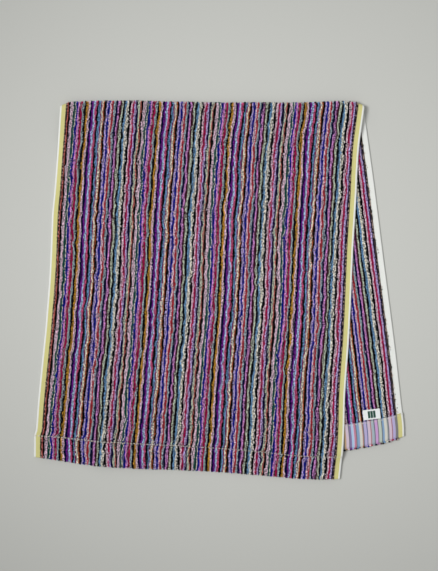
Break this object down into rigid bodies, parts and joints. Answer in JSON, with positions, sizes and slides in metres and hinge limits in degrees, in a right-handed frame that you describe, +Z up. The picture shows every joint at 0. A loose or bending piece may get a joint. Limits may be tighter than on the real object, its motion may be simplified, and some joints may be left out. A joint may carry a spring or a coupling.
{
  "type": "folded face towel",
  "caption": "Narrow terry face towel with lengthwise stripes, folded once across its length with the lower layer swung out to one side; a small sewn-in label at the hem.",
  "frame": {"origin": "under the middle of the folded towel's bounding box, on the surface that it lies on", "axes": "+Z up from the surface, +Y from the two hems towards the fold, +X across the stripes towards the side where the lower layer shows"},
  "size_m": [0.4136, 0.4224, 0.0098],
  "materials": {
    "terry": "looped cotton pile in narrow lengthwise stripes of mixed colours, matt",
    "label": "smooth woven ribbon, slightly lustrous"
  },
  "bodies": {
    "root": {"towel": "terry", "label": "label"}
  },
  "joints": []
}
